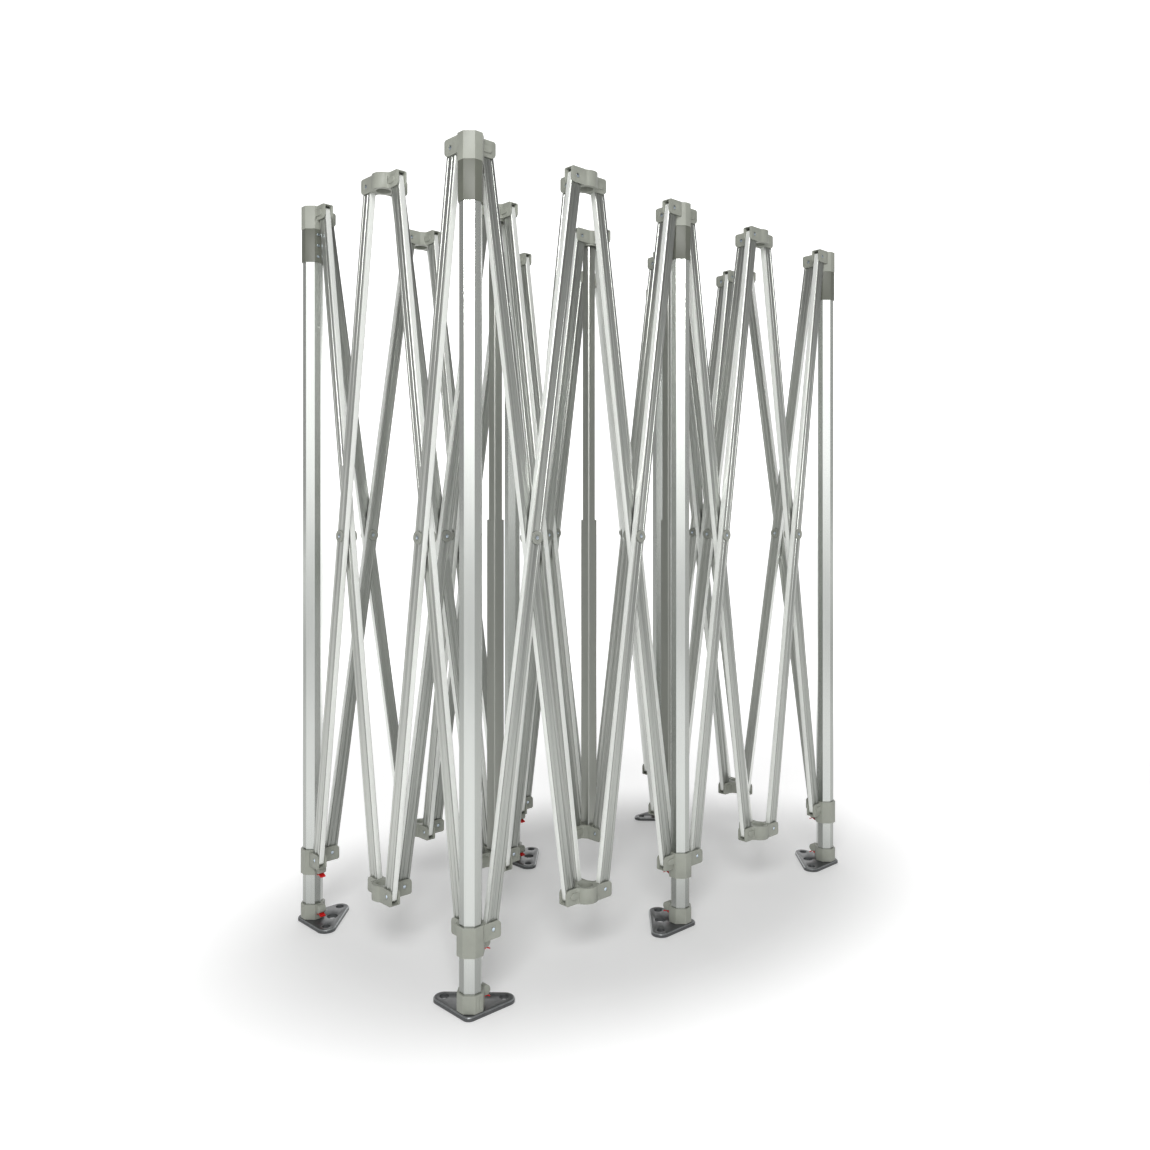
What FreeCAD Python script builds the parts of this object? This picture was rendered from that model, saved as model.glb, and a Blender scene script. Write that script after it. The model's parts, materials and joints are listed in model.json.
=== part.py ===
import FreeCAD, Part
import os
import math
from FreeCAD import Vector

# ---------------------------------------------------------------- dimensions, mm
SPACING = 286.0          # column to column distance of the half folded frame
N_LONG = 5               # columns along X
N_SHORT = 3              # columns along Y

Z_TOP = 1571.0           # top of the upper brackets
Z_PIVOT_TOP = 1554.0     # bar pivots in the upper brackets
Z_PIVOT_LOW = 144.0      # bar pivots in the lower brackets and sliders
PIVOT_R = 38.0           # column axis to bar pivot

BAR_W = 27.0             # scissor bar, wide face
BAR_T = 14.0             # scissor bar, thickness
BAR_WALL = 1.5
BAR_EDGE = 1.4           # broken long edges
BAR_GROOVE_W = 3.0
BAR_GROOVE_D = 0.8
BAR_GROOVE_U = 6.0       # groove centre from the bar's centre line
BAR_PLANE = 7.75         # bar plane from the column axis
PIN_R = 4.0              # pivot bolts
PIN_CLEAR = 0.05         # radial clearance of the bolts in the bars

DISC_R = 12.5            # plastic discs at the middle pivots
DISC_T = 3.2
BOLT_HEAD_R = 3.5        # sunk bolt heads
BOLT_HEAD_H = 1.4
SINK_R = 4.7             # recess round a head in a bracket
SINK_H = 2.0
DISC_SINK_R = 6.4        # the same in a disc
DISC_SINK_H = 1.7

LATCH_R = 9.0            # round latch housing on sliders and foot collars
LATCH_OUT = 6.5          # its centre, out from the flat
LATCH_Y0 = -6.0
LATCH_Y1 = 10.0
LATCH_Z_SLIDER = 119.0
LATCH_Z_FOOT = 33.0

HUB_W = 47.0             # upper collar of a leg, across flats
HUB_C = 15.0             # its corner cut
HUB_H = 50.0
ROUND_HUB_R = 23.5       # brackets with no leg
ROUND_HUB_BORE = 15.0
POST_HUB_BORE = 18.7
TUBE_HUB_R = 19.2        # the open hubs between their arms
HUB_FILLET = 9.0         # where the arms run into the round hubs
FLANGE_R = 22.0          # guide ring under the brackets a centre post slides in
FLANGE_H = 4.0

ARM_SLOT = 14.8
ARM_CHEEK = 3.1
ARM_END = 55.0
ARM_LOW = 14.0           # below the pivot
ARM_HIGH = 17.0          # above the pivot
ARM_WEB_UNDER = 14.0     # underside of the web above the pivot
NUT_R = 6.6              # nut boss, half its height
NUT_OUT = 3.0            # how far the nut boss stands off the cheek

LEG_W = 41.0             # outer leg tube, across the flats that face X and Y
LEG_C = 13.5
LEG_WALL = 1.8
LEG_Z0 = 12.0
SLEEVE_W = 45.6
SLEEVE_Z0 = 1449.0
LOCK_HOLE_Z = 1308.0
LOCK_HOLE_R = 4.5

INNER_W = 36.6           # inner leg tube
INNER_WALL = 1.8
INNER_TOP = 1380.0

SLIDER_W = 49.4
SLIDER_C = 15.6
SLIDER_BORE_W = 41.8
SLIDER_Z0 = 107.0
SLIDER_Z1 = 161.0

COLLAR_W = 49.0          # collar at the foot of the outer leg
COLLAR_C = 15.5
COLLAR_Z0 = 9.0
COLLAR_Z1 = 41.0

PLATE_T = 8.0            # foot plate
PLATE_EDGE = 27.0        # outer edges from the leg axis
PLATE_DIAG = 92.0        # x + y of the long inner edge
PLATE_R = 20.0
PLATE_CORNER_R = 13.0
PLATE_HOLE_R = 9.0
PLATE_MID_R = 12.0
PLATE_MID_AT = 43.0
PLATE_BEVEL = 2.0

POST_W = 28.0            # centre post, wide lower tube, square
POST_INNER_W = 22.4      # narrow upper tube
POST_C = 2.0             # their corner cut
POST_STEP_Z = 884.0
POST_TOP = 1569.0

# ---------------------------------------------------------------- derived
SPREAD = SPACING - 2.0 * PIVOT_R
RISE = Z_PIVOT_TOP - Z_PIVOT_LOW
BAR_L = math.hypot(SPREAD, RISE)
THETA = math.degrees(math.atan2(SPREAD, RISE))
Z_MID = 0.5 * (Z_PIVOT_TOP + Z_PIVOT_LOW)
AXIS_Z = Vector(0, 0, 1)
ORIGIN = Vector(0, 0, 0)


def column_xy(i, j):
    return ((i - (N_LONG - 1) / 2.0) * SPACING, (j - (N_SHORT - 1) / 2.0) * SPACING)


# ---------------------------------------------------------------- helpers
def prism(points, z0, z1):
    wire = Part.makePolygon([Vector(x, y, z0) for x, y in points + points[:1]])
    return Part.Face(wire).extrude(Vector(0, 0, z1 - z0))


def octagon(width, cut, z0, z1):
    h = width / 2.0
    k = h - cut
    pts = [(h, -k), (h, k), (k, h), (-k, h), (-h, k), (-h, -k), (-k, -h), (k, -h)]
    return prism(pts, z0, z1)


def oct_tube(width, cut, wall, z0, z1):
    inner_w = width - 2.0 * wall
    # keeps the same wall on the slanted flats
    inner_c = cut - (2.0 - math.sqrt(2.0)) * wall
    return octagon(width, cut, z0, z1).cut(
        octagon(inner_w, inner_c, z0 - 1.0, z1 + 1.0)
    )


def cyl(radius, height, base, axis=AXIS_Z):
    return Part.makeCylinder(radius, height, Vector(*base), axis)


def turned(shape, quarter):
    s = shape.copy()
    s.rotate(ORIGIN, AXIS_Z, 90.0 * quarter)
    return s


def moved(shape, x, y, z=0.0):
    s = shape.copy()
    s.translate(Vector(x, y, z))
    return s


def flipped(shape):
    s = shape.copy()
    s.rotate(Vector(0, 0, Z_MID), Vector(1, 0, 0), 180.0)
    return s


def xz_profile(segments, y0, y1):
    """Extrudes a closed wire drawn in the XZ plane from y0 to y1."""
    edges = []
    for seg in segments:
        if len(seg) == 2:
            (ax, az), (bx, bz) = seg
            edges.append(Part.makeLine(Vector(ax, y0, az), Vector(bx, y0, bz)))
        else:
            (ax, az), (mx, mz), (bx, bz) = seg
            edges.append(
                Part.Arc(
                    Vector(ax, y0, az), Vector(mx, y0, mz), Vector(bx, y0, bz)
                ).toShape()
            )
    return Part.Face(Part.Wire(edges)).extrude(Vector(0, y1 - y0, 0))


# ---------------------------------------------------------------- bracket arm
def make_arm():
    """Upper arm towards +X. Its slot is open below and at the end."""
    z0 = Z_PIVOT_TOP - ARM_LOW
    z1 = Z_PIVOT_TOP + ARM_HIGH
    y0 = BAR_PLANE - ARM_SLOT / 2.0 - ARM_CHEEK
    y1 = BAR_PLANE + ARM_SLOT / 2.0 + ARM_CHEEK
    x0 = 16.0
    rb, rt = 9.0, 5.0
    c = math.sqrt(0.5)
    arm = xz_profile(
        [
            ((x0, z0), (ARM_END - rb, z0)),
            (
                (ARM_END - rb, z0),
                (ARM_END - rb + rb * c, z0 + rb - rb * c),
                (ARM_END, z0 + rb),
            ),
            ((ARM_END, z0 + rb), (ARM_END, z1 - rt)),
            (
                (ARM_END, z1 - rt),
                (ARM_END - rt + rt * c, z1 - rt + rt * c),
                (ARM_END - rt, z1),
            ),
            ((ARM_END - rt, z1), (x0, z1)),
            ((x0, z1), (x0, z0)),
        ],
        y0,
        y1,
    )
    return arm, y0, y1


def arm_slot():
    return Part.makeBox(
        ARM_END,
        ARM_SLOT,
        60.0,
        Vector(24.0, BAR_PLANE - ARM_SLOT / 2.0, Z_PIVOT_TOP + ARM_WEB_UNDER - 60.0),
    )


def arm_hardware(y0, y1):
    """Bolt, sunk head on the far cheek and nut boss on the near one."""
    bolt = cyl(
        PIN_R, y1 - y0 + 0.5 - SINK_H, (PIVOT_R, y0 - 0.5, Z_PIVOT_TOP), Vector(0, 1, 0)
    )
    head = cyl(
        BOLT_HEAD_R, BOLT_HEAD_H, (PIVOT_R, y1 - SINK_H, Z_PIVOT_TOP), Vector(0, 1, 0)
    )
    near = y0 - NUT_OUT
    boss = cyl(NUT_R, NUT_OUT + 0.2, (PIVOT_R, near, Z_PIVOT_TOP), Vector(0, 1, 0))
    run = Part.makeBox(
        PIVOT_R - 21.0, NUT_OUT + 0.2, 2.0 * NUT_R, Vector(21.0, near, Z_PIVOT_TOP - NUT_R)
    )
    boss = boss.fuse(run).removeSplitter()
    rim = [
        e
        for e in boss.Edges
        if all(abs(v.Y - near) < 0.01 and v.X > 21.5 for v in e.Vertexes)
        or (
            all(abs(v.Y - near) < 0.01 for v in e.Vertexes)
            and len(e.Vertexes) == 2
            and abs(e.Vertexes[0].Z - e.Vertexes[1].Z) < 0.01
        )
    ]
    return bolt, head, boss.makeFillet(1.2, rim)


def hub_fairing(quarters):
    """Plan of the round hub and its arms with rounded inner corners, arm height."""
    plan = Part.Face(Part.Wire([Part.makeCircle(ROUND_HUB_R)]))
    y0 = BAR_PLANE - ARM_SLOT / 2.0 - ARM_CHEEK
    wide = ARM_SLOT + 2.0 * ARM_CHEEK
    arms = [turned(Part.makePlane(42.0, wide, Vector(0, y0, 0)), q) for q in quarters]
    plan = plan.fuse(arms).removeSplitter().Faces[0]
    plan = plan.makeOffset2D(HUB_FILLET).makeOffset2D(-HUB_FILLET)
    solid = plan.Faces[0].extrude(Vector(0, 0, ARM_LOW + ARM_HIGH))
    solid.translate(Vector(0, 0, Z_PIVOT_TOP - ARM_LOW))
    return solid


def recess(y1):
    return cyl(SINK_R, SINK_H + 1.0, (PIVOT_R, y1 - SINK_H, Z_PIVOT_TOP), Vector(0, 1, 0))


def bracket(core, core_cuts, quarters, lower):
    """Joins a hub with its arms; quarters lists the directions the arms point in."""
    arm, y0, y1 = make_arm()
    slot = arm_slot()
    bolt, head, boss = arm_hardware(y0, y1)
    rec = recess(y1)
    if lower:
        arm, slot, bolt, head, boss, rec = [
            flipped(s) for s in (arm, slot, bolt, head, boss, rec)
        ]
    solid = core.fuse([turned(arm, q) for q in quarters])
    for tool in [turned(slot, q) for q in quarters] + [turned(rec, q) for q in quarters]:
        solid = solid.cut(tool)
    for tool in core_cuts:
        solid = solid.cut(tool)
    pins = []
    for q in quarters:
        pins += [turned(bolt, q), turned(head, q), turned(boss, q)]
    return solid.fuse(pins).removeSplitter()


# ---------------------------------------------------------------- round brackets
def upper_bracket(quarters, for_post):
    z0 = Z_PIVOT_TOP - ARM_LOW
    core = hub_fairing(quarters)
    bore = POST_HUB_BORE if for_post else ROUND_HUB_BORE
    if for_post:
        core = core.fuse(cyl(ROUND_HUB_R, Z_TOP - z0, (0, 0, z0)))
        core = core.fuse(cyl(FLANGE_R, FLANGE_H + 1.0, (0, 0, z0 - FLANGE_H)))
    cuts = [cyl(bore, Z_TOP - z0 + 40.0, (0, 0, z0 - 20.0))]
    return bracket(core, cuts, quarters, False)


def lower_bracket(quarters, for_post):
    z0 = Z_PIVOT_LOW - ARM_HIGH
    core = flipped(hub_fairing([-q for q in quarters]))
    if for_post:
        core = core.fuse(cyl(ROUND_HUB_R, ARM_LOW + ARM_HIGH, (0, 0, z0)))
        cuts = [octagon(POST_W, POST_C, z0 + 3.0, z0 + HUB_H)]
    else:
        cuts = [cyl(ROUND_HUB_BORE, HUB_H + 20.0, (0, 0, z0 - 10.0))]
    return bracket(core, cuts, quarters, True)


def centre_post():
    z0 = Z_PIVOT_LOW - ARM_HIGH + 3.0
    wide = octagon(POST_W, POST_C, z0, POST_STEP_Z).cut(
        octagon(POST_INNER_W, POST_C, z0 + 3.0, POST_STEP_Z + 1.0)
    )
    narrow = octagon(POST_INNER_W, POST_C, z0 + 3.0, POST_TOP).cut(
        octagon(POST_INNER_W - 3.2, POST_C - 0.8, z0 + 2.0, POST_TOP - 3.0)
    )
    return [wide, narrow]


# ---------------------------------------------------------------- latches
def latch_housing(width, z):
    """Round housing on the +X flat, joined to it by a short block."""
    x0 = width / 2.0 - 0.4
    cx = width / 2.0 + LATCH_OUT
    long = LATCH_Y1 - LATCH_Y0
    drum = cyl(LATCH_R, long, (cx, LATCH_Y0, z), Vector(0, 1, 0))
    stem = Part.makeBox(cx - x0, long, 2.0 * (LATCH_R - 1.5), Vector(x0, LATCH_Y0, z - LATCH_R + 1.5))
    keep = Part.makeBox(60.0, 60.0, 60.0, Vector(x0, -30.0, z - 30.0))
    return drum.fuse(stem).common(keep).removeSplitter()


def latch_tab(width, z):
    """Release tab under the housing, folded along its middle."""
    x = width / 2.0
    top = z - LATCH_R + 0.5
    thick = 2.3
    line = [(x + 0.1, top - 3.6), (x + 7.5, top), (x + 16.5, top - 4.4)]
    pts = line + [(a, b - thick) for a, b in reversed(line)]
    sides = [(pts[k], pts[(k + 1) % len(pts)]) for k in range(len(pts))]
    return xz_profile(sides, LATCH_Y0 + 2.0, LATCH_Y1 - 2.0).cut(latch_housing(width, z))


# ---------------------------------------------------------------- leg pieces
def leg(quarters, latch_quarter):
    """Outer tube with the fixed upper bracket, sleeve and foot collar."""
    z_hub = Z_TOP - HUB_H
    tube = oct_tube(LEG_W, LEG_C, LEG_WALL, LEG_Z0, Z_TOP - 3.0)
    lock = cyl(LOCK_HOLE_R, 12.0, (LEG_W / 2.0 - 6.0, 0, LOCK_HOLE_Z), Vector(1, 0, 0))
    tube = tube.cut(turned(lock, latch_quarter))

    core = octagon(HUB_W, HUB_C, z_hub, Z_TOP)
    inside = octagon(LEG_W, LEG_C, z_hub - 1.0, Z_TOP - 3.0)
    top = bracket(core, [inside], quarters, False)

    sleeve = octagon(SLEEVE_W, LEG_C + 1.3, SLEEVE_Z0, z_hub).cut(
        octagon(LEG_W, LEG_C, SLEEVE_Z0 - 1.0, z_hub + 1.0)
    )
    rivets = []
    flat = SLEEVE_W / 2.0
    for z in (SLEEVE_Z0 + 12.0, SLEEVE_Z0 + 36.0, SLEEVE_Z0 + 60.0):
        rivets.append(cyl(3.2, 2.2, (flat - 1.0, 0, z), Vector(1, 0, 0)))
    sleeve = sleeve.fuse([turned(r, latch_quarter) for r in rivets])

    collar = octagon(COLLAR_W, COLLAR_C, COLLAR_Z0, COLLAR_Z1)
    housing = latch_housing(COLLAR_W, LATCH_Z_FOOT)
    face = -COLLAR_W / 2.0
    relief = Part.makeBox(8.6, 1.1, 22.0, Vector(-3.3, face - 0.7, 13.0)).cut(
        Part.makeBox(5.0, 3.0, 18.4, Vector(-1.5, face - 2.0, 14.8))
    )
    collar = collar.fuse([turned(housing, latch_quarter), turned(relief, latch_quarter)])
    collar = collar.cut(octagon(LEG_W, LEG_C, LEG_Z0, COLLAR_Z1 + 30.0))
    inner_c = LEG_C - (2.0 - math.sqrt(2.0)) * LEG_WALL
    collar = collar.cut(
        octagon(LEG_W - 2.0 * LEG_WALL, inner_c, COLLAR_Z0 - 1.0, LEG_Z0 + 1.0)
    )
    tab = turned(latch_tab(COLLAR_W, LATCH_Z_FOOT), latch_quarter)
    return [top, tube, sleeve, collar, tab]


def slider(quarters, latch_quarter):
    """Collar that runs up and down the leg and carries the lower bar pivots."""
    core = octagon(SLIDER_W, SLIDER_C, SLIDER_Z0, SLIDER_Z1)
    housing = latch_housing(SLIDER_W, LATCH_Z_SLIDER)
    core = core.fuse(turned(housing, latch_quarter))
    bore_c = LEG_C + (2.0 - math.sqrt(2.0)) * 0.4
    bore = octagon(SLIDER_BORE_W, bore_c, SLIDER_Z0 - 1.0, SLIDER_Z1 + 1.0)
    # the lower arms reach in past the collar wall, so the bore is cut last
    body = bracket(core, [bore], quarters, True)
    tab = latch_tab(SLIDER_W, LATCH_Z_SLIDER)
    return [body, turned(tab, latch_quarter)]


def inner_leg(latch_quarter):
    """Inner tube on its foot plate. The plate's square corner faces outwards."""
    inner_c = LEG_C - (2.0 - math.sqrt(2.0)) * (LEG_W - INNER_W) / 2.0
    tube = oct_tube(INNER_W, inner_c, INNER_WALL, PLATE_T, INNER_TOP)
    return [tube, turned(foot_plate(), latch_quarter)]


def foot_plate():
    e, k = PLATE_EDGE, PLATE_DIAG
    far = k + e
    tri = prism([(-e, -e), (far, -e), (-e, far)], 0.0, PLATE_T)
    ups = [x for x in tri.Edges if abs(x.Vertexes[0].Z - x.Vertexes[1].Z) > 1.0]
    corner = [
        x for x in ups if abs(x.Vertexes[0].X + e) < 0.1 and abs(x.Vertexes[0].Y + e) < 0.1
    ]
    tips = [x for x in ups if x not in corner]
    tri = tri.makeFillet(PLATE_R, tips)
    ups = [
        x
        for x in tri.Edges
        if len(x.Vertexes) == 2
        and abs(x.Vertexes[0].Z - x.Vertexes[1].Z) > 1.0
        and abs(x.Vertexes[0].X + e) < 0.1
        and abs(x.Vertexes[0].Y + e) < 0.1
    ]
    tri = tri.makeFillet(PLATE_CORNER_R, ups)
    rim = [x for x in tri.Edges if all(abs(v.Z - PLATE_T) < 0.01 for v in x.Vertexes)]
    tri = tri.makeChamfer(PLATE_BEVEL, rim)
    tip = k - math.sqrt(2.0) * PLATE_R + e - PLATE_R
    at = -e + PLATE_R
    mid = PLATE_MID_AT / math.sqrt(2.0)
    for x, y, r in ((tip, at, PLATE_HOLE_R), (at, tip, PLATE_HOLE_R), (mid, mid, PLATE_MID_R)):
        tri = tri.cut(cyl(r, PLATE_T + 2.0, (x, y, -1.0)))
    return tri


# ---------------------------------------------------------------- scissor bars
def bar_blank():
    """Bar along Z with its lower pivot at the origin; thickness along Y."""
    u, v, b = BAR_W / 2.0, BAR_T / 2.0, BAR_EDGE
    g, gd, gw = BAR_GROOVE_U, BAR_GROOVE_D, BAR_GROOVE_W / 2.0
    side = []
    for s in (-1, 1):
        c = s * g
        side += [(c - gw, v), (c - gw + gd * 0.5, v - gd), (c + gw - gd * 0.5, v - gd), (c + gw, v)]
    upper = [(-u, v - b), (-u + b, v)] + side + [(u - b, v), (u, v - b)]
    lower = [(-x, -y) for x, y in upper]
    z0, z1 = -BAR_W / 2.0 - 1.0, BAR_L + BAR_W / 2.0 + 1.0
    blank = prism(upper + lower, z0, z1)
    h = BAR_W / 2.0
    outline = xz_profile(
        [
            ((-h, 0.0), (-h, BAR_L)),
            ((-h, BAR_L), (0.0, BAR_L + h), (h, BAR_L)),
            ((h, BAR_L), (h, 0.0)),
            ((h, 0.0), (0.0, -h), (-h, 0.0)),
        ],
        -BAR_T,
        BAR_T,
    )
    blank = blank.common(outline)
    w = BAR_WALL
    hollow = Part.makeBox(
        BAR_W - 2.0 * w - 1.0,
        BAR_T - 2.0 * w - 2.0 * gd,
        BAR_L - 2.0 * 24.0,
        Vector(-(BAR_W - 2.0 * w - 1.0) / 2.0, -(BAR_T - 2.0 * w - 2.0 * gd) / 2.0, 24.0),
    )
    blank = blank.cut(hollow)
    for z in (0.0, BAR_L / 2.0, BAR_L):
        blank = blank.cut(
            cyl(PIN_R + PIN_CLEAR, BAR_T + 4.0, (0, -BAR_T / 2.0 - 2.0, z), Vector(0, 1, 0))
        )
    return blank


def place_bar(shape):
    """Leans the blank so that its top sits in the +X arm of the column at the origin."""
    s = shape.copy()
    s.rotate(ORIGIN, Vector(0, 1, 0), -THETA)
    s.translate(Vector(SPACING - PIVOT_R, BAR_PLANE, Z_PIVOT_LOW))
    return s


def middle_bolt():
    """Bolt, discs and spacer of a middle pivot, held by the bar that has its top at the origin column."""
    x, z = SPACING / 2.0, Z_MID
    out = BAR_PLANE + BAR_T / 2.0
    inn = BAR_PLANE - BAR_T / 2.0
    gap = 0.3
    axis = Vector(0, 1, 0)
    far = -out - gap - DISC_T
    pieces = [
        cyl(DISC_R, DISC_T, (x, out, z), axis),
        cyl(DISC_R, DISC_T, (x, far, z), axis),
        cyl(10.0, 2.0 * inn - gap, (x, -inn + gap, z), axis),
    ]
    pin = cyl(PIN_R, out + DISC_T - far, (x, far, z), axis).fuse(pieces)
    pin = pin.cut(cyl(DISC_SINK_R, DISC_SINK_H + 1.0, (x, out + DISC_T - DISC_SINK_H, z), axis))
    pin = pin.cut(cyl(DISC_SINK_R, DISC_SINK_H + 1.0, (x, far - 1.0, z), axis))
    heads = [
        cyl(BOLT_HEAD_R, BOLT_HEAD_H, (x, out + DISC_T - DISC_SINK_H, z), axis),
        cyl(BOLT_HEAD_R, BOLT_HEAD_H, (x, far + DISC_SINK_H - BOLT_HEAD_H, z), axis),
    ]
    return pin.fuse(heads).removeSplitter()


# ---------------------------------------------------------------- layout
STEP_DIR = {0: (1, 0), 1: (0, 1), 2: (-1, 0), 3: (0, -1)}
LEGS = {(0, 0): 0, (4, 0): 1, (2, 0): 1, (4, 2): 2, (0, 2): 3, (2, 2): 3}
INSIDE = [(1, 1), (2, 1), (3, 1)]
LOOSE_COLUMNS = [(1, 1), (3, 1)]
LOOSE_BARS = [((4, 2), 3)]


def neighbours(i, j):
    found = []
    for q, (di, dj) in STEP_DIR.items():
        if 0 <= i + di < N_LONG and 0 <= j + dj < N_SHORT:
            found.append(q)
    return found


def tag(i, j):
    return "%d%d" % (i, j)


def main():
    os.makedirs("parts", exist_ok=True)
    nodes = {}
    frame = []

    def put(name, shapes, i, j):
        x, y = column_xy(i, j)
        placed = [moved(s, x, y) for s in shapes]
        if name is None:
            frame.extend(placed)
        else:
            nodes.setdefault(name, []).extend(placed)

    for i in range(N_LONG):
        for j in range(N_SHORT):
            q = neighbours(i, j)
            t = tag(i, j)
            if (i, j) in LEGS:
                k = LEGS[(i, j)]
                put("leg_" + t, leg(q, k), i, j)
                put("slider_" + t, slider(q, k), i, j)
                put("inner_leg_" + t, inner_leg(k), i, j)
            else:
                post = (i, j) in INSIDE
                up = [upper_bracket(q, post)]
                low = [lower_bracket(q, post)] + (centre_post() if post else [])
                if (i, j) in LOOSE_COLUMNS:
                    put(None, up + low, i, j)
                else:
                    put("top_bracket_" + t, up, i, j)
                    put(("post_" if post else "low_bracket_") + t, low, i, j)

    blank = place_bar(bar_blank())
    bolt = middle_bolt()
    for i in range(N_LONG):
        for j in range(N_SHORT):
            for q in neighbours(i, j):
                di, dj = STEP_DIR[q]
                other = (i + di, j + dj)
                shapes = [turned(blank, q)]
                if q in (0, 1):
                    shapes.append(turned(bolt, q))
                loose = (
                    (i, j) in LOOSE_COLUMNS
                    or other in LOOSE_COLUMNS
                    or ((i, j), q) in LOOSE_BARS
                )
                name = None if loose else "bar_%s_%s" % (tag(i, j), tag(*other))
                put(name, shapes, i, j)
    nodes["inner_frame"] = frame

    for name in sorted(nodes):
        solids = []
        for shape in nodes[name]:
            solids.extend(shape.Solids)
        out = solids[0] if len(solids) == 1 else Part.makeCompound(solids)
        out.exportStep("parts/%s.step" % name)
        print(name, len(solids), "valid" if all(s.isValid() for s in solids) else "INVALID")
    print(len(nodes), "nodes; bar", round(BAR_L, 3), "theta", round(THETA, 4))


main()
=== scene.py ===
import json
import math

import bpy
import numpy as np
from mathutils import Matrix, Vector

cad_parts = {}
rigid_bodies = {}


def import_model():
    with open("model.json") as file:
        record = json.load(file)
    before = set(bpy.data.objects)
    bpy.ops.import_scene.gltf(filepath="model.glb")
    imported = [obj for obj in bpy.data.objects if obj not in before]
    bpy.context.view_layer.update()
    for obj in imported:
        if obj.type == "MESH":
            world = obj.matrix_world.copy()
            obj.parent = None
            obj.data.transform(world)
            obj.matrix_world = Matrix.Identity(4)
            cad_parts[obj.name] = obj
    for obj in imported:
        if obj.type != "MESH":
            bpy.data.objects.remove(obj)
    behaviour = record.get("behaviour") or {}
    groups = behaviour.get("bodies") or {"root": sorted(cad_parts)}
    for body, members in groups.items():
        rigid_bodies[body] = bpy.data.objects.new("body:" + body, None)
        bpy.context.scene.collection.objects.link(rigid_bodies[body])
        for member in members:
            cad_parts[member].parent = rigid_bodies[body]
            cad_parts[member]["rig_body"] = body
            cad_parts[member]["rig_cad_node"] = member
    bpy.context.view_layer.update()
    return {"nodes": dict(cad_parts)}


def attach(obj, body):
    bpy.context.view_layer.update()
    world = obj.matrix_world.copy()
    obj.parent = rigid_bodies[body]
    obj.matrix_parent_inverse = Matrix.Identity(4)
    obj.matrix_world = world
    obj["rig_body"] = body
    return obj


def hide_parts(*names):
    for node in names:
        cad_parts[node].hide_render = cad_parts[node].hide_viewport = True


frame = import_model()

# ------------------------------------------------------------------ layout, the same numbers as the CAD model, metres
SP = 0.286
PIV = 0.038
ZT, ZB = 1.554, 0.144
ZM = 0.5 * (ZT + ZB)
PLANE = 0.00775
BAR_T = 0.014
THETA = math.atan2(SP - 2 * PIV, ZT - ZB)
DIR = {0: (1, 0), 1: (0, 1), 2: (-1, 0), 3: (0, -1)}
LEGS = {(0, 0): 0, (4, 0): 1, (2, 0): 1, (4, 2): 2, (0, 2): 3, (2, 2): 3}
LOOSE = [(1, 1), (3, 1)]
LEG_H, LEG_C = 0.0205, 0.0135
scene = bpy.context.scene
nodes = frame["nodes"]


def xy(c):
    return Vector(((c[0] - 2) * SP, (c[1] - 1) * SP, 0.0))


def tag(c):
    return "%d%d" % c


def near(c):
    return [
        q
        for q, d in DIR.items()
        if 0 <= c[0] + d[0] <= 4 and 0 <= c[1] + d[1] <= 2
    ]


# ------------------------------------------------------------------ materials
def node_tree(name):
    m = bpy.data.materials.new(name)
    m.use_nodes = True
    nt = m.node_tree
    bsdf = nt.nodes["Principled BSDF"]
    return m, nt, bsdf


def coords(nt, scale, rot=(0, 0, 0)):
    tc = nt.nodes.new("ShaderNodeTexCoord")
    mp = nt.nodes.new("ShaderNodeMapping")
    mp.inputs["Scale"].default_value = scale
    mp.inputs["Rotation"].default_value = rot
    nt.links.new(tc.outputs["Object"], mp.inputs["Vector"])
    return mp


def noise(nt, vec, scale, detail=4.0, rough=0.55):
    n = nt.nodes.new("ShaderNodeTexNoise")
    n.inputs["Scale"].default_value = scale
    n.inputs["Detail"].default_value = detail
    n.inputs["Roughness"].default_value = rough
    nt.links.new(vec.outputs[0], n.inputs["Vector"])
    return n


def ramp(nt, source, stops):
    r = nt.nodes.new("ShaderNodeValToRGB")
    cr = r.color_ramp
    cr.elements[0].position, cr.elements[0].color = stops[0][0], (*stops[0][1], 1)
    cr.elements[1].position, cr.elements[1].color = stops[-1][0], (*stops[-1][1], 1)
    for pos, col in stops[1:-1]:
        e = cr.elements.new(pos)
        e.color = (*col, 1)
    nt.links.new(source, r.inputs["Fac"])
    return r


def remap(nt, source, lo, hi):
    mr = nt.nodes.new("ShaderNodeMapRange")
    mr.inputs["From Min"].default_value = 0.3
    mr.inputs["From Max"].default_value = 0.7
    mr.inputs["To Min"].default_value = lo
    mr.inputs["To Max"].default_value = hi
    nt.links.new(source, mr.inputs["Value"])
    return mr


def bump(nt, bsdf, source, strength, distance):
    b = nt.nodes.new("ShaderNodeBump")
    b.inputs["Strength"].default_value = strength
    b.inputs["Distance"].default_value = distance
    nt.links.new(source, b.inputs["Height"])
    nt.links.new(b.outputs["Normal"], bsdf.inputs["Normal"])


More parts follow.
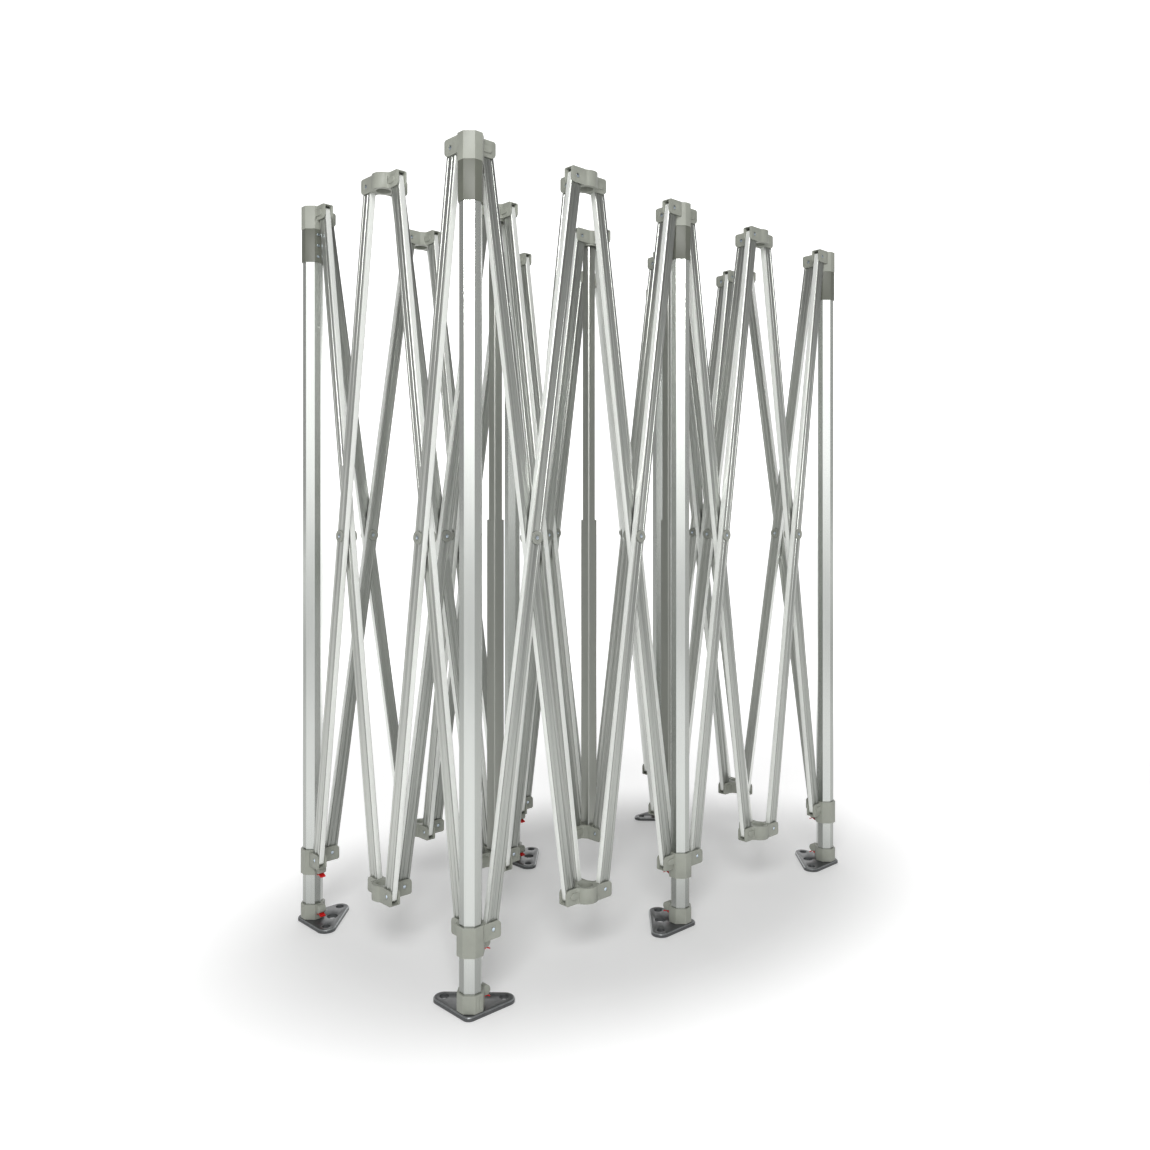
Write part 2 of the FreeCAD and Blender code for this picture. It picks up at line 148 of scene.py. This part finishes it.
def aluminium(name, base, rough, metallic, rot=(0, 0, 0), floor_shade=1.0):
    """Anodised extrusion: die lines along its length, faint blotches, small scuffs, and painted shade that darkens the
    colour towards the bottom when the last argument is below 1.
    """
    m, nt, p = node_tree(name)
    p.inputs["Metallic"].default_value = metallic
    lines = noise(nt, coords(nt, (900, 900, 2.0), rot), 1.0, 3.0)
    blotch = noise(nt, coords(nt, (9, 9, 3.0), rot), 1.0, 5.0)
    scuff = noise(nt, coords(nt, (60, 60, 45), rot), 1.0, 6.0, 0.7)
    dark = tuple(c * 0.975 for c in base)
    light = tuple(min(1.0, c * 1.02) for c in base)
    cr = ramp(nt, blotch.outputs["Fac"], [(0.35, dark), (0.5, base), (0.68, light)])
    line_c = ramp(nt, lines.outputs["Fac"], [(0.3, (0.955,) * 3), (0.6, (1.0,) * 3)])
    mix = nt.nodes.new("ShaderNodeMix")
    mix.data_type = "RGBA"
    mix.blend_type = "MULTIPLY"
    mix.inputs["Factor"].default_value = 1.0
    nt.links.new(cr.outputs["Color"], mix.inputs["A"])
    nt.links.new(line_c.outputs["Color"], mix.inputs["B"])
    # painted shade: the colour is multiplied down towards the bottom, from 1 at 1.1 m height to the factor given as
    # the last argument at the floor
    if floor_shade < 1.0:
        split = nt.nodes.new("ShaderNodeSeparateXYZ")
        tc = nt.nodes.new("ShaderNodeTexCoord")
        nt.links.new(tc.outputs["Object"], split.inputs[0])
        low = nt.nodes.new("ShaderNodeMapRange")
        low.interpolation_type = "SMOOTHSTEP"
        low.inputs["From Min"].default_value = 0.0
        low.inputs["From Max"].default_value = 1.1
        low.inputs["To Min"].default_value = floor_shade
        low.inputs["To Max"].default_value = 1.0
        nt.links.new(split.outputs["Z"], low.inputs["Value"])
        painted_low_shade = nt.nodes.new("ShaderNodeMix")
        painted_low_shade.data_type = "RGBA"
        painted_low_shade.blend_type = "MULTIPLY"
        painted_low_shade.inputs["Factor"].default_value = 1.0
        nt.links.new(mix.outputs["Result"], painted_low_shade.inputs["A"])
        nt.links.new(low.outputs["Result"], painted_low_shade.inputs["B"])
        mix = painted_low_shade
    nt.links.new(mix.outputs["Result"], p.inputs["Base Color"])
    r1 = remap(nt, scuff.outputs["Fac"], rough * 0.94, rough * 1.08)
    nt.links.new(r1.outputs["Result"], p.inputs["Roughness"])
    bump(nt, p, lines.outputs["Fac"], 0.012, 0.0002)
    return m


def plastic(name, base, rough, grain=1400.0, strength=0.18):
    """Moulded nylon: fine grain, slightly cloudy colour, and a painted highlight along its edges."""
    m, nt, p = node_tree(name)
    cloud = noise(nt, coords(nt, (14, 14, 14)), 1.0, 5.0)
    fine = noise(nt, coords(nt, (grain,) * 3), 1.0, 2.0)
    dark = tuple(c * 0.88 for c in base)
    light = tuple(min(1.0, c * 1.10) for c in base)
    cr = ramp(nt, cloud.outputs["Fac"], [(0.32, dark), (0.5, base), (0.7, light)])
    # painted highlight on the moulded edges: lighter where the rounded normal leaves the flat one
    rounded = nt.nodes.new("ShaderNodeBevel")
    rounded.samples = 4
    rounded.inputs["Radius"].default_value = 0.0012
    flat = nt.nodes.new("ShaderNodeNewGeometry")
    agree = nt.nodes.new("ShaderNodeVectorMath")
    agree.operation = "DOT_PRODUCT"
    nt.links.new(rounded.outputs["Normal"], agree.inputs[0])
    nt.links.new(flat.outputs["Normal"], agree.inputs[1])
    edge = nt.nodes.new("ShaderNodeMapRange")
    edge.inputs["From Min"].default_value = 0.985
    edge.inputs["From Max"].default_value = 0.90
    edge.inputs["To Min"].default_value = 0.0
    edge.inputs["To Max"].default_value = 0.6
    nt.links.new(agree.outputs["Value"], edge.inputs["Value"])
    edge_highlight = nt.nodes.new("ShaderNodeMix")
    edge_highlight.data_type = "RGBA"
    edge_highlight.inputs["B"].default_value = (*(min(1.0, c * 1.5) for c in base), 1)
    nt.links.new(edge.outputs["Result"], edge_highlight.inputs["Factor"])
    nt.links.new(cr.outputs["Color"], edge_highlight.inputs["A"])
    nt.links.new(edge_highlight.outputs["Result"], p.inputs["Base Color"])
    r1 = remap(nt, cloud.outputs["Fac"], rough * 0.9, rough * 1.15)
    nt.links.new(r1.outputs["Result"], p.inputs["Roughness"])
    p.inputs["Specular IOR Level"].default_value = 0.45
    bump(nt, p, fine.outputs["Fac"], strength, 0.0002)
    return m


def metal(name, base, rough, metallic=1.0, grain=500.0):
    m, nt, p = node_tree(name)
    p.inputs["Metallic"].default_value = metallic
    cloud = noise(nt, coords(nt, (120, 120, 120)), 1.0, 4.0)
    fine = noise(nt, coords(nt, (grain,) * 3), 1.0, 3.0)
    dark = tuple(c * 0.82 for c in base)
    light = tuple(min(1.0, c * 1.12) for c in base)
    cr = ramp(nt, cloud.outputs["Fac"], [(0.3, dark), (0.7, light)])
    nt.links.new(cr.outputs["Color"], p.inputs["Base Color"])
    r1 = remap(nt, fine.outputs["Fac"], rough * 0.8, rough * 1.3)
    nt.links.new(r1.outputs["Result"], p.inputs["Roughness"])
    bump(nt, p, fine.outputs["Fac"], 0.12, 0.0002)
    return m


LEAN = {}
for q, d in DIR.items():
    # the die lines lie along the bar, which leans towards -d at its top
    LEAN[q] = (-THETA * d[1], THETA * d[0], 0)
# painted shade: the tube aluminium darkens towards the bottom, and the X and Y facing tube flats take a darker copy of
# it
M_TUBE = aluminium("tube aluminium", (0.76, 0.785, 0.755), 0.20, 0.93, floor_shade=0.70)
M_SIDE_SHADED = aluminium("tube side flats", (0.57, 0.59, 0.56), 0.22, 0.92, floor_shade=0.66)
M_LINE = aluminium("bar corner", (0.30, 0.31, 0.29), 0.30, 0.90)
M_WIDE_SHADED = {}
M_EDGE_HIGHLIGHT = {}
# painted shade and painted highlight on the bars: the wide faces take a darker copy of the aluminium, darker again on
# bars along X than along Y, and the narrow faces take a near-white, less metallic copy
for q in DIR:
    wide_shade = (0.42, 0.435, 0.41) if q in (0, 2) else (0.50, 0.515, 0.485)
    M_WIDE_SHADED[q] = aluminium("bar face %d" % q, wide_shade, 0.30, 0.85, LEAN[q])
    M_EDGE_HIGHLIGHT[q] = aluminium("bar edge %d" % q, (0.90, 0.92, 0.885), 0.32, 0.35, LEAN[q])
# painted shade: the X and Y facing flats of the post tubes take a darker copy of the post aluminium
M_POST = aluminium("post corners", (0.42, 0.43, 0.40), 0.30, 0.80)
M_POST_SIDE_SHADED = aluminium("post flats", (0.34, 0.35, 0.32), 0.32, 0.85)
M_PLASTIC = plastic("grey nylon", (0.285, 0.297, 0.258), 0.44)
M_DISC = plastic("pivot disc", (0.26, 0.27, 0.24), 0.40, 1800.0, 0.10)
M_SLEEVE = plastic("dark sleeve", (0.112, 0.118, 0.096), 0.42, 900.0, 0.10)
M_PLATE = metal("foot plate paint", (0.095, 0.099, 0.101), 0.36, 0.50, 1100.0)
M_RIM = metal("foot plate rim", (0.33, 0.345, 0.35), 0.34, 0.60, 900.0)
M_ZINC = metal("zinc plated steel", (0.62, 0.70, 0.78), 0.20)
M_RED = plastic("red tab", (0.52, 0.004, 0.004), 0.42, 1600.0, 0.08)


# ------------------------------------------------------------------ which material each face takes
def centres(o):
    n = len(o.data.polygons)
    c = np.zeros(n * 3)
    o.data.polygons.foreach_get("center", c)
    return c.reshape(-1, 3) * 1000.0


def square_on(o):
    """Faces that look straight along X or Y."""
    n = np.zeros(len(o.data.polygons) * 3)
    o.data.polygons.foreach_get("normal", n)
    n = np.abs(n.reshape(-1, 3))
    return (n[:, 0] > 0.95) | (n[:, 1] > 0.95)


def local(c, column, quarter=0):
    """Face centres in mm about a column's axis, turned back so that quarter points along +X."""
    p = xy(column) * 1000.0
    x, y = c[:, 0] - p.x, c[:, 1] - p.y
    a = -quarter * math.pi / 2
    return np.stack(
        [x * math.cos(a) - y * math.sin(a), x * math.sin(a) + y * math.cos(a), c[:, 2]],
        axis=1,
    )


def set_materials(o, mats, index):
    o.data.materials.clear()
    for m in mats:
        o.data.materials.append(m)
    o.data.polygons.foreach_set("material_index", np.asarray(index, np.int32))
    o.data.update()


def pin_heads(c, column, lower, index, value):
    """The sunk bolt heads on the outer cheeks."""
    z0 = (ZB if lower else ZT) * 1000.0
    for q in near(column):
        l = local(c, column, q)
        far = 7.75 + 7.4 + 3.1
        y = -l[:, 1] if lower else l[:, 1]
        rr = np.hypot(l[:, 0] - 38.0, l[:, 2] - z0)
        index[(rr < 3.56) & (y > far - 2.05)] = value
    return index


def release_tab(l, width, z):
    """The folded tab under a latch housing."""
    rr = np.hypot(l[:, 0] - width / 2 - 6.5, l[:, 2] - z)
    return (rr > 9.1) & (l[:, 0] > width / 2 + 0.05) & (l[:, 2] < z - 8.2) & (l[:, 1] > -4.1) & (l[:, 1] < 8.1)


def in_tube(l, half=20.56, sum_=27.6):
    x, y = np.abs(l[:, 0]), np.abs(l[:, 1])
    return (x < half) & (y < half) & (x + y < sum_)


for name, o in nodes.items():
    c = centres(o)
    idx = np.zeros(len(c), np.int32)
    if name.startswith("bar_"):
        a = (int(name[4]), int(name[5]))
        b = (int(name[7]), int(name[8]))
        q = [k for k, d in DIR.items() if d == (b[0] - a[0], b[1] - a[1])][0]
        l = local(c, a, q)
        off = np.abs(l[:, 1] - 7.75)
        rr = np.hypot(l[:, 0] - SP * 500.0, l[:, 2] - ZM * 1000.0)
        across = (l[:, 0] - SP * 500.0) * math.cos(THETA) + (l[:, 2] - ZM * 1000.0) * math.sin(THETA)
        # the narrow faces take the painted highlight copy
        idx[(np.abs(across) > 12.3) & (off < 6.9)] = 3
        idx[off > 7.02] = 1
        idx[(rr < 3.56) & (off > 8.0)] = 2
        idx[(np.abs(across) > 12.3) & (np.abs(across) < 13.4) & (off > 5.8) & (off < 6.9)] = 4
        set_materials(o, [M_WIDE_SHADED[q], M_DISC, M_ZINC, M_EDGE_HIGHLIGHT[q], M_LINE], idx)
    elif name.startswith("leg_"):
        col = (int(name[4]), int(name[5]))
        k = LEGS[col]
        l = local(c, col, k)
        tube = in_tube(l)
        # painted shade: the X and Y facing tube flats take the darker copy
        idx[tube & square_on(o)] = 5
        idx[~tube & (l[:, 2] > 1520.9)] = 1
        idx[~tube & (l[:, 2] > 1448.0) & (l[:, 2] <= 1520.9)] = 2
        idx[(l[:, 0] > 22.9) & (l[:, 2] > 1448.0) & (l[:, 2] < 1520.9)] = 3
        idx[~tube & (l[:, 2] < 90.0)] = 1
        idx[release_tab(l, 49.0, 33.0)] = 4
        idx = pin_heads(c, col, False, idx, 3)
        set_materials(o, [M_TUBE, M_PLASTIC, M_SLEEVE, M_ZINC, M_RED, M_SIDE_SHADED], idx)
    elif name.startswith("inner_leg_"):
        col = (int(name[10]), int(name[11]))
        # painted shade: the X and Y facing tube flats take the darker copy
        idx[square_on(o)] = 3
        idx[c[:, 2] < 8.05] = 1
        idx[(c[:, 2] > 6.3) & (c[:, 2] < 7.9)] = 2
        set_materials(o, [M_TUBE, M_PLATE, M_RIM, M_SIDE_SHADED], idx)
    elif name.startswith("slider_"):
        col = (int(name[7]), int(name[8]))
        l = local(c, col, LEGS[col])
        idx[release_tab(l, 49.4, 119.0)] = 2
        idx = pin_heads(c, col, True, idx, 1)
        set_materials(o, [M_PLASTIC, M_ZINC, M_RED], idx)
    elif name.startswith("post_"):
        col = (int(name[5]), int(name[6]))
        l = local(c, col)
        rr = np.hypot(l[:, 0], l[:, 1])
        idx[(rr < 18.9) & (l[:, 2] > 158.1)] = 2
        # painted shade: the X and Y facing post flats take the darker copy
        idx[(idx == 2) & square_on(o)] = 3
        idx = pin_heads(c, col, True, idx, 1)
        set_materials(o, [M_PLASTIC, M_ZINC, M_POST, M_POST_SIDE_SHADED], idx)
    elif name.startswith("low_bracket_") or name.startswith("top_bracket_"):
        col = (int(name[12]), int(name[13]))
        idx = pin_heads(c, col, name.startswith("low"), idx, 1)
        set_materials(o, [M_PLASTIC, M_ZINC], idx)


def soften(o, width, flat=None, segments=2, angle=32.0):
    """Welds the seams of the imported mesh and rounds its sharp edges.

    Faces marked in flat are the long planar tube walls: they stay unwelded and crisp.
    """
    me = o.data
    smooth = np.ones(len(me.polygons), bool)
    w = o.modifiers.new("weld", "WELD")
    w.merge_threshold = 0.000002
    if flat is not None:
        smooth[flat] = False
        keep = np.ones(len(me.vertices), bool)
        for k in np.nonzero(flat)[0]:
            keep[list(me.polygons[k].vertices)] = False
        group = o.vertex_groups.new(name="soft")
        group.add([int(v) for v in np.nonzero(keep)[0]], 1.0, "REPLACE")
        w.vertex_group = "soft"
    b = o.modifiers.new("bevel", "BEVEL")
    b.width = width
    b.segments = segments
    b.limit_method = "ANGLE"
    b.angle_limit = math.radians(angle)
    b.harden_normals = True
    b.use_clamp_overlap = True
    b.loop_slide = True
    me.polygons.foreach_set("use_smooth", smooth)


for name, o in nodes.items():
    if name == "inner_frame":
        continue
    if name.startswith("bar_"):
        soften(o, 0.0004)
    elif name.startswith("inner_leg"):
        c = centres(o)
        soften(o, 0.0006, c[:, 2] > 8.05)
    elif name.startswith("leg_"):
        l = local(centres(o), (int(name[4]), int(name[5])))
        soften(o, 0.0008, in_tube(l))
    elif name.startswith("post_"):
        l = local(centres(o), (int(name[5]), int(name[6])))
        soften(o, 0.0008, (np.hypot(l[:, 0], l[:, 1]) < 18.9) & (l[:, 2] > 158.1))
    else:
        soften(o, 0.0008)

# ------------------------------------------------------------------ inner columns and bars that the CAD holds in one node
made = []


def copy_of(source, name, turn, shift):
    """A CAD node's mesh, turned about Z and moved, as a piece of its own."""
    src = nodes[source]
    o = src.copy()
    o.data = src.data.copy()
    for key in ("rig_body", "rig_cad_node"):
        if key in o:
            del o[key]
    o.name = name
    o.parent = None
    scene.collection.objects.link(o)
    o.data.transform(Matrix.Translation(shift) @ Matrix.Rotation(turn * math.pi / 2, 4, "Z"))
    made.append(o)
    return o


def anchor(name, at, body):
    """An empty that rides on a CAD body."""
    e = bpy.data.objects.new(name, None)
    e.empty_display_size = 0.01
    scene.collection.objects.link(e)
    e.location = at
    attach(e, body)
    return e


def top_body(c):
    return ("leg_" if c in LEGS else "top_bracket_") + tag(c)


def low_body(c):
    if c in LEGS:
        return "slider_" + tag(c)
    return ("post_" if c == (2, 1) else "low_bracket_") + tag(c)


def halfway(name, at, body_a, body_b):
    """An empty that keeps the middle between two bodies."""
    e = anchor(name, at, body_a)
    far = anchor(name + "_far", at, body_b)
    con = e.constraints.new("COPY_LOCATION")
    con.target = far
    con.influence = 0.5
    return e


def recentre(o, at):
    """Puts the object's origin at a point without moving its shape."""
    o.data.transform(Matrix.Translation(-Vector(at)))
    o.location = at


# carriers of the two inner columns: they keep the middle between the centre column and the end column
carrier = {}
for c in LOOSE:
    end = (0, 1) if c == (1, 1) else (4, 1)
    p = xy(c)
    carrier["top", c] = halfway(
        "carrier_top_" + tag(c), p + Vector((0, 0, ZT)), "top_bracket_21", top_body(end)
    )
    carrier["low", c] = halfway(
        "carrier_low_" + tag(c), p + Vector((0, 0, ZB)), "post_21", low_body(end)
    )
    for kind, src, z in (("top", "top_bracket_21", ZT), ("low", "post_21", ZB)):
        name = ("top_bracket_" if kind == "top" else "post_") + tag(c)
        o = copy_of(src, name, 0, p)
        recentre(o, p + Vector((0, 0, z)))
        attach(o, src)
        con = o.constraints.new("COPY_LOCATION")
        con.target = carrier[kind, c]


def holder(kind, c):
    """(body, point holder or None) for the top or low upright of a column."""
    if c in LOOSE:
        return None
    return top_body(c) if kind == "top" else low_body(c)


def point_on(kind, c, name, at):
    """An empty fixed to an upright, also when that upright is one of the inner ones."""
    body = holder(kind, c)
    if body:
        return anchor(name, at, body)
    base = "top_bracket_21" if kind == "top" else "post_21"
    e = anchor(name, at, base)
    con = e.constraints.new("COPY_LOCATION")
    con.target = carrier[kind, c]
    con.use_offset = False
    return e


def bar_bays():
    for i in range(5):
        for j in range(3):
            for q in near((i, j)):
                d = DIR[q]
                b = (i + d[0], j + d[1])
                if (i, j) in LOOSE or b in LOOSE or ((i, j), q) == ((4, 2), 3):
                    yield (i, j), b, q


SOURCE = {0: "bar_10_20", 1: "bar_20_21", 2: "bar_20_10", 3: "bar_21_20"}
SOURCE_TOP = {0: (1, 0), 1: (2, 0), 2: (2, 0), 3: (2, 1)}
for a, b, q in bar_bays():
    d = Vector((*DIR[q], 0.0))
    side = Vector((-d.y, d.x, 0.0)) * PLANE
    head = xy(a) + d * PIV + side + Vector((0, 0, ZT))
    foot = xy(b) - d * PIV + side + Vector((0, 0, ZB))
    name = "bar_%s_%s" % (tag(a), tag(b))
    o = copy_of(SOURCE[q], name, 0, xy(a) - xy(SOURCE_TOP[q]))
    # origin at the upper pivot with local -Z along the bar, so that a track constraint keeps it on the lower pivot
    look = (foot - head).normalized()
    across = side.normalized()
    rot = Matrix((across.cross(-look), across, -look)).transposed().to_4x4()
    place = Matrix.Translation(head) @ rot
    o.data.transform(place.inverted())
    o.matrix_world = place
    body = top_body(a) if a not in LOOSE else "top_bracket_21"
    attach(o, body)
    if a in LOOSE:
        con = o.constraints.new("COPY_LOCATION")
        holder_empty = bpy.data.objects.new("head_" + name, None)
        scene.collection.objects.link(holder_empty)
        holder_empty.parent = carrier["top", a]
        holder_empty.location = head - (xy(a) + Vector((0, 0, ZT)))
        con.target = holder_empty
    if b in LOOSE:
        aim = bpy.data.objects.new("aim_" + name, None)
        scene.collection.objects.link(aim)
        aim.parent = carrier["low", b]
        aim.location = foot - (xy(b) + Vector((0, 0, ZB)))
    else:
        aim = anchor("aim_" + name, foot, low_body(b))
    tr = o.constraints.new("DAMPED_TRACK")
    tr.target = aim
    tr.track_axis = "TRACK_NEGATIVE_Z"

for o in made:
    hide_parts("inner_frame")
nodes["inner_frame"].hide_render = True

# ------------------------------------------------------------------ floor and light
def plane(name, size, loc, mat):
    bpy.ops.mesh.primitive_plane_add(size=size, location=loc)
    o = bpy.context.object
    o.name = name
    o.data.materials.append(mat)
    return o


YAW = math.radians(43.34)
AHEAD = (math.sin(YAW), math.cos(YAW), 0.0)
RIGHT = (math.cos(YAW), -math.sin(YAW), 0.0)


def math_node(nt, op, a, b):
    n = nt.nodes.new("ShaderNodeMath")
    n.operation = op
    for k, v in enumerate((a, b)):
        if isinstance(v, (int, float)):
            n.inputs[k].default_value = v
        else:
            nt.links.new(v, n.inputs[k])
    return n.outputs[0]


def smooth_step(nt, source, lo, hi, out_lo, out_hi):
    mr = nt.nodes.new("ShaderNodeMapRange")
    mr.interpolation_type = "SMOOTHSTEP"
    mr.inputs["From Min"].default_value = lo
    mr.inputs["From Max"].default_value = hi
    mr.inputs["To Min"].default_value = out_lo
    mr.inputs["To Max"].default_value = out_hi
    nt.links.new(source, mr.inputs["Value"])
    return mr.outputs["Result"]


def dot(nt, source, direction):
    n = nt.nodes.new("ShaderNodeVectorMath")
    n.operation = "DOT_PRODUCT"
    n.inputs[1].default_value = direction
    nt.links.new(source, n.inputs[0])
    return n.outputs["Value"]


# the floor glows, painted light: a pool of glow round the object with painted shadow, less glow, under the object
# itself, fading to pale grey further out and brighter towards the backdrop ahead
m_floor, nt, p = node_tree("pale floor")
p.inputs["Base Color"].default_value = (0.74, 0.74, 0.74, 1)
p.inputs["Roughness"].default_value = 0.7
p.inputs["Specular IOR Level"].default_value = 0.1
tc = nt.nodes.new("ShaderNodeTexCoord")
away = nt.nodes.new("ShaderNodeVectorMath")
away.operation = "DISTANCE"
away.inputs[1].default_value = (1.2, 1.25, 0.0)
nt.links.new(tc.outputs["Object"], away.inputs[0])
p.inputs["Emission Color"].default_value = (1, 1, 1, 1)
squeeze = nt.nodes.new("ShaderNodeMapping")
squeeze.inputs["Scale"].default_value = (1 / 0.80, 1 / 0.55, 1.0)
nt.links.new(tc.outputs["Object"], squeeze.inputs["Vector"])
ring = nt.nodes.new("ShaderNodeVectorMath")
ring.operation = "LENGTH"
nt.links.new(squeeze.outputs["Vector"], ring.inputs[0])
# painted shadow: less glow inside an ellipse under the object, times a fade further out
glow_and_shadow = math_node(
    nt,
    "MULTIPLY",
    smooth_step(nt, away.outputs["Value"], 2.8, 4.4, 1.0, 0.6),
    smooth_step(nt, ring.outputs["Value"], 0.70, 1.45, 0.20, 0.66),
)
nt.links.new(
    math_node(
        nt,
        "ADD",
        glow_and_shadow,
        smooth_step(nt, dot(nt, tc.outputs["Object"], AHEAD), 1.0, 3.5, 0.0, 0.6),
    ),
    p.inputs["Emission Strength"],
)
floor = plane("floor", 90.0, (0, 0, -0.0005), m_floor)

# the studio round it: white behind the object, a large soft panel behind the camera, grey sides
world = bpy.data.worlds.new("studio")
scene.world = world
world.use_nodes = True
nt = world.node_tree
back = nt.nodes["Background"]
back.inputs["Color"].default_value = (1, 1, 1, 1)
sky = nt.nodes.new("ShaderNodeTexCoord").outputs["Generated"]
ahead = dot(nt, sky, AHEAD)
up = dot(nt, sky, (0.0, 0.0, 1.0))
low_sky = smooth_step(nt, up, 0.20, 0.60, 1.0, 0.25)
sides = math_node(
    nt, "MULTIPLY", smooth_step(nt, dot(nt, sky, RIGHT), -0.9, 0.9, 0.40, 0.50), low_sky
)
white = smooth_step(nt, ahead, 0.50, 0.76, 0.0, 1.0)
panel = math_node(
    nt,
    "MULTIPLY",
    smooth_step(nt, ahead, -0.72, -0.95, 0.0, 1.0),
    smooth_step(nt, up, -0.15, 0.20, 0.35, 1.0),
)
high = smooth_step(nt, up, 0.48, 0.85, 1.0, 0.3)
nt.links.new(
    math_node(nt, "MULTIPLY", math_node(nt, "ADD", math_node(nt, "ADD", sides, white), panel), high),
    back.inputs["Strength"],
)


def area(name, loc, target, size, energy, size_y=None):
    light = bpy.data.lights.new(name, "AREA")
    light.energy = energy
    light.size = size
    if size_y:
        light.shape = "RECTANGLE"
        light.size_y = size_y
    o = bpy.data.objects.new(name, light)
    scene.collection.objects.link(o)
    o.location = loc
    o.rotation_mode = "QUATERNION"
    o.rotation_quaternion = (Vector(target) - Vector(loc)).to_track_quat("-Z", "Y")
    return o


area("top", (0, 0, 4.2), (0, 0, 0), 3.0, 16)
area("key", (-2.5, -2.3, 2.7), (-0.4, -0.2, 0.9), 1.4, 85)

# ------------------------------------------------------------------ camera
cam_data = bpy.data.cameras.new("camera")
cam = bpy.data.objects.new("camera", cam_data)
scene.collection.objects.link(cam)
scene.camera = cam
cam.location = (-1.6494, -1.6995, 0.8782)
cam.rotation_euler = (math.pi / 2, 0, -YAW)
cam_data.sensor_width = 36.0
cam_data.lens = 36.0 * 987.9 / 1150.0
cam_data.shift_y = -(575.0 - 522.2) / 1150.0
cam_data.clip_start = 0.05
cam_data.clip_end = 200.0

scene.view_settings.view_transform = "Standard"
scene.view_settings.look = "None"
scene.view_settings.exposure = 0.0
scene.view_settings.gamma = 1.0
